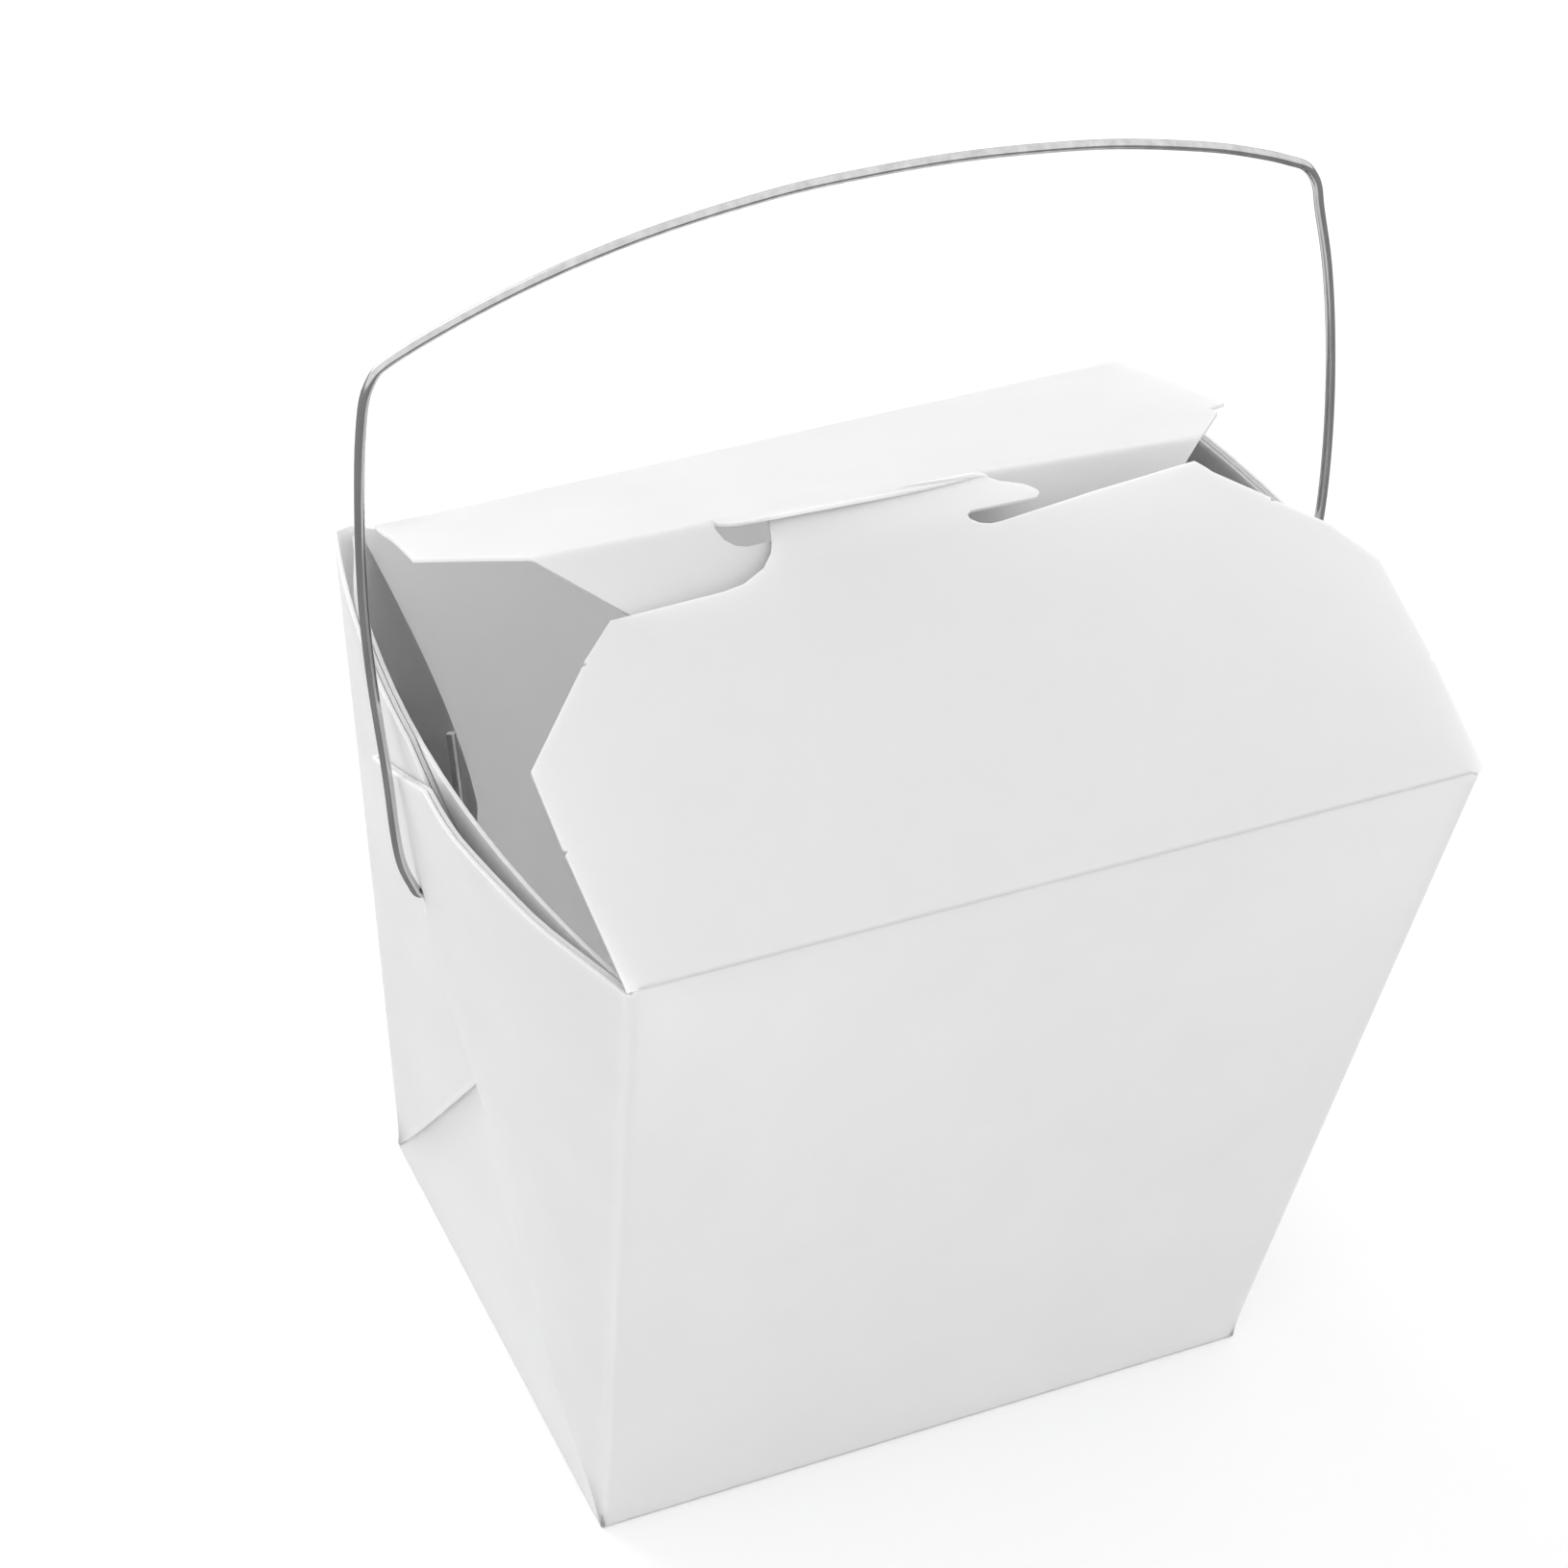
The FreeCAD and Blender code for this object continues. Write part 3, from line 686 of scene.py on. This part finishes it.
def wireTree(material):
    tree = bpy.data.node_groups.new("sweptWire", "GeometryNodeTree")
    tree.interface.new_socket("Line", in_out="INPUT", socket_type="NodeSocketGeometry")
    radius = tree.interface.new_socket("Wire radius", in_out="INPUT", socket_type="NodeSocketFloat")
    radius.default_value = 0.0005
    around = tree.interface.new_socket("Sides", in_out="INPUT", socket_type="NodeSocketInt")
    around.default_value = 16
    tree.interface.new_socket("Wire", in_out="OUTPUT", socket_type="NodeSocketGeometry")
    nodes = tree.nodes
    source = nodes.new("NodeGroupInput")
    target = nodes.new("NodeGroupOutput")
    toCurve = nodes.new("GeometryNodeMeshToCurve")
    circle = nodes.new("GeometryNodeCurvePrimitiveCircle")
    sweep = nodes.new("GeometryNodeCurveToMesh")
    sweep.inputs["Fill Caps"].default_value = True
    shade = nodes.new("GeometryNodeSetShadeSmooth")
    realize = nodes.new("GeometryNodeRealizeInstances")
    paint = nodes.new("GeometryNodeSetMaterial")
    paint.inputs["Material"].default_value = material
    link = tree.links.new
    link(source.outputs["Line"], toCurve.inputs["Mesh"])
    link(source.outputs["Wire radius"], circle.inputs["Radius"])
    link(source.outputs["Sides"], circle.inputs["Resolution"])
    link(toCurve.outputs["Curve"], sweep.inputs["Curve"])
    link(circle.outputs["Curve"], sweep.inputs["Profile Curve"])
    link(sweep.outputs["Mesh"], shade.inputs["Geometry"])
    link(shade.outputs["Geometry"], realize.inputs["Geometry"])
    link(realize.outputs["Geometry"], paint.inputs["Geometry"])
    link(paint.outputs["Geometry"], target.inputs["Wire"])
    return tree


def makeBail(material):
    line = [p * millimetre for p in throughPoints(bailLine(), bail["steps"])]
    mesh = bpy.data.meshes.new("bailWire")
    mesh.from_pydata(line, [(i, i + 1) for i in range(len(line) - 1)], [])
    piece = bpy.data.objects.new("bailWire", mesh)
    bpy.context.scene.collection.objects.link(piece)
    tree = wireTree(material)
    swept = piece.modifiers.new("sweep", "NODES")
    swept.node_group = tree
    ids = {item.name: item.identifier for item in tree.interface.items_tree if item.in_out == "INPUT"}
    swept[ids["Wire radius"]] = bail["radius"] * millimetre
    swept[ids["Sides"]] = bail["around"]
    bpy.context.view_layer.update()
    graph = bpy.context.evaluated_depsgraph_get()
    made = bpy.data.meshes.new_from_object(piece.evaluated_get(graph), depsgraph=graph)
    piece.modifiers.clear()
    piece.data = made
    made.set_sharp_from_angle(angle=math.radians(bail["sharpAngle"]))
    bpy.data.meshes.remove(mesh)
    return piece


# Materials

def newMaterial(name):
    material = bpy.data.materials.new(name)
    material.use_nodes = True
    nodes = material.node_tree.nodes
    return material, nodes, material.node_tree.links.new, nodes["Principled BSDF"]


def noiseNode(nodes, link, coordinates, scale, detail=4.0, stretch=None):
    texture = nodes.new("ShaderNodeTexNoise")
    texture.inputs["Scale"].default_value = scale
    texture.inputs["Detail"].default_value = detail
    source = coordinates
    if stretch:
        mapping = nodes.new("ShaderNodeMapping")
        mapping.inputs["Scale"].default_value = stretch
        link(coordinates, mapping.inputs["Vector"])
        source = mapping.outputs["Vector"]
    link(source, texture.inputs["Vector"])
    return texture.outputs["Fac"]


def rangeNode(nodes, link, value, low, high):
    spread = nodes.new("ShaderNodeMapRange")
    spread.inputs["From Min"].default_value = 0.25
    spread.inputs["From Max"].default_value = 0.75
    spread.inputs["To Min"].default_value = low
    spread.inputs["To Max"].default_value = high
    link(value, spread.inputs["Value"])
    return spread.outputs["Result"]


def tintNode(nodes, link, value, low, high, shader):
    tint = nodes.new("ShaderNodeMix")
    tint.data_type = "RGBA"
    tint.inputs["A"].default_value = low
    tint.inputs["B"].default_value = high
    link(rangeNode(nodes, link, value, 0.0, 1.0), tint.inputs["Factor"])
    link(tint.outputs["Result"], shader.inputs["Base Color"])


def bumpNode(nodes, link, height, strength, distance):
    bump = nodes.new("ShaderNodeBump")
    bump.inputs["Strength"].default_value = strength
    bump.inputs["Distance"].default_value = distance
    link(height, bump.inputs["Height"])
    return bump


paper = {
    "colour": (0.885, 0.887, 0.89, 1),
    "shade": (0.865, 0.868, 0.872, 1),
    "roughness": (0.5, 0.6),
    "gloss": 0.35,
    "mottle": 95.0,
    "fibres": {"scale": 1400.0, "strength": 0.25, "distance": 0.00004},
    "waves": {"scale": 60.0, "strength": 0.3, "distance": 0.0003},
    "through": {"weight": 0.7, "depth": 0.0021},
}


def makePaper():
    material, nodes, link, shader = newMaterial("coatedBoard")
    coordinates = nodes.new("ShaderNodeTexCoord").outputs["Object"]
    mottle = noiseNode(nodes, link, coordinates, paper["mottle"])
    tintNode(nodes, link, mottle, paper["shade"], paper["colour"], shader)
    link(rangeNode(nodes, link, mottle, *paper["roughness"]), shader.inputs["Roughness"])
    fibres = noiseNode(nodes, link, coordinates, paper["fibres"]["scale"], 5.0, (1.0, 1.0, 0.45))
    waves = noiseNode(nodes, link, coordinates, paper["waves"]["scale"], 2.0)
    fine = bumpNode(nodes, link, fibres, paper["fibres"]["strength"], paper["fibres"]["distance"])
    broad = bumpNode(nodes, link, waves, paper["waves"]["strength"], paper["waves"]["distance"])
    link(fine.outputs["Normal"], broad.inputs["Normal"])
    link(broad.outputs["Normal"], shader.inputs["Normal"])
    shader.inputs["Specular IOR Level"].default_value = paper["gloss"]
    shader.inputs["Subsurface Weight"].default_value = paper["through"]["weight"]
    shader.inputs["Subsurface Radius"].default_value = (1.0, 1.0, 1.0)
    shader.inputs["Subsurface Scale"].default_value = paper["through"]["depth"]
    return material


steel = {
    "colour": (0.74, 0.74, 0.745, 1),
    "dull": (0.55, 0.55, 0.555, 1),
    "roughness": (0.12, 0.22),
    "drawn": {"scale": 900.0, "strength": 0.2, "distance": 0.00003},
}


def makeSteel():
    material, nodes, link, shader = newMaterial("drawnSteel")
    coordinates = nodes.new("ShaderNodeTexCoord").outputs["Object"]
    drawn = noiseNode(nodes, link, coordinates, steel["drawn"]["scale"], 3.0, (1.0, 1.0, 0.06))
    tintNode(nodes, link, drawn, steel["dull"], steel["colour"], shader)
    link(rangeNode(nodes, link, drawn, *steel["roughness"]), shader.inputs["Roughness"])
    bump = bumpNode(nodes, link, drawn, steel["drawn"]["strength"], steel["drawn"]["distance"])
    link(bump.outputs["Normal"], shader.inputs["Normal"])
    shader.inputs["Metallic"].default_value = 1.0
    return material


print("materials")
coatedBoard = makePaper()
drawnSteel = makeSteel()
for piece in (cartonBoard, frontFlapBoard):
    piece.data.materials.clear()
    piece.data.materials.append(coatedBoard)

print("bail")
bailWire = makeBail(drawnSteel)
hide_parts("wire_handle")
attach(bailWire, "wire_handle")


# Studio: pale floor, painted dark only where the metal mirrors it as a painted reflection, white
# surround, one soft light, the photograph's camera

studio = {
    "camera": (-0.17693, -0.30369, 0.38057),
    "azimuth": -28.84,
    "elevation": 41.78,
    "roll": 6.32,
    "lens": 107.15,
    "sky": 1.035,
    "floor": (0.98, 0.98, 0.98, 1),
    # Painted reflection: the floor's colour only as the metal mirrors it, darker than the floor's own
    "paintedFloorReflection": (0.25, 0.25, 0.25, 1),
    "reach": 6.0,
    "aim": (0, 0, 0.06),
    "lights": [
        {"place": (-0.5, 1.15, 0.66), "size": 0.9, "power": 5.4},
    ],
}


def makeFloorPlane():
    mesh = bpy.data.meshes.new("floor")
    reach = studio["reach"]
    corners = [(-reach, -reach, 0), (reach, -reach, 0), (reach, reach, 0), (-reach, reach, 0)]
    mesh.from_pydata(corners, [], [(0, 1, 2, 3)])
    piece = bpy.data.objects.new("floor", mesh)
    bpy.context.scene.collection.objects.link(piece)
    material, nodes, link, shader = newMaterial("paleFloorWithPaintedReflection")
    # Painted reflection: in glossy rays the floor is painted dark, so the metal mirrors a darker floor
    # than the pale one the camera sees
    path = nodes.new("ShaderNodeLightPath")
    tint = nodes.new("ShaderNodeMix")
    tint.data_type = "RGBA"
    tint.inputs["A"].default_value = studio["floor"]
    tint.inputs["B"].default_value = studio["paintedFloorReflection"]
    link(path.outputs["Is Glossy Ray"], tint.inputs["Factor"])
    link(tint.outputs["Result"], shader.inputs["Base Color"])
    shader.inputs["Roughness"].default_value = 0.9
    shader.inputs["Specular IOR Level"].default_value = 0.1
    mesh.materials.append(material)


def makeLights():
    for number, light in enumerate(studio["lights"]):
        lamp = bpy.data.lights.new(f"soft{number}", "AREA")
        lamp.shape = "SQUARE"
        lamp.size = light["size"]
        lamp.energy = light["power"]
        item = bpy.data.objects.new(f"soft{number}", lamp)
        bpy.context.scene.collection.objects.link(item)
        item.location = light["place"]
        aim = Vector(studio["aim"]) - Vector(light["place"])
        item.rotation_euler = aim.to_track_quat("-Z", "Y").to_euler()


def makeSky():
    world = bpy.data.worlds.new("surround")
    bpy.context.scene.world = world
    world.use_nodes = True
    nodes = world.node_tree.nodes
    link = world.node_tree.links.new
    nodes.clear()
    seen = nodes.new("ShaderNodeBackground")
    seen.inputs["Color"].default_value = (1, 1, 1, 1)
    seen.inputs["Strength"].default_value = 1.0
    light = nodes.new("ShaderNodeBackground")
    light.inputs["Color"].default_value = (1, 1, 1, 1)
    light.inputs["Strength"].default_value = studio["sky"]
    path = nodes.new("ShaderNodeLightPath")
    mix = nodes.new("ShaderNodeMixShader")
    output = nodes.new("ShaderNodeOutputWorld")
    link(path.outputs["Is Camera Ray"], mix.inputs["Fac"])
    link(light.outputs["Background"], mix.inputs[1])
    link(seen.outputs["Background"], mix.inputs[2])
    link(mix.outputs["Shader"], output.inputs["Surface"])


def makeCamera():
    a = math.radians(studio["azimuth"])
    e = math.radians(studio["elevation"])
    r = math.radians(studio["roll"])
    back = Vector((math.sin(a) * math.cos(e), -math.cos(a) * math.cos(e), math.sin(e)))
    right = (-back).cross(Vector((0, 0, 1))).normalized()
    up = right.cross(-back)
    x = right * math.cos(r) + up * math.sin(r)
    y = up * math.cos(r) - right * math.sin(r)
    camera = bpy.data.cameras.new("camera")
    camera.sensor_width = 36.0
    camera.lens = studio["lens"]
    camera.clip_end = 50.0
    item = bpy.data.objects.new("camera", camera)
    bpy.context.scene.collection.objects.link(item)
    turn = Matrix((x, y, back)).transposed().to_4x4()
    item.matrix_world = Matrix.Translation(Vector(studio["camera"])) @ turn
    bpy.context.scene.camera = item


print("studio")
makeFloorPlane()
makeLights()
makeSky()
makeCamera()
bpy.context.scene.view_settings.view_transform = "Standard"
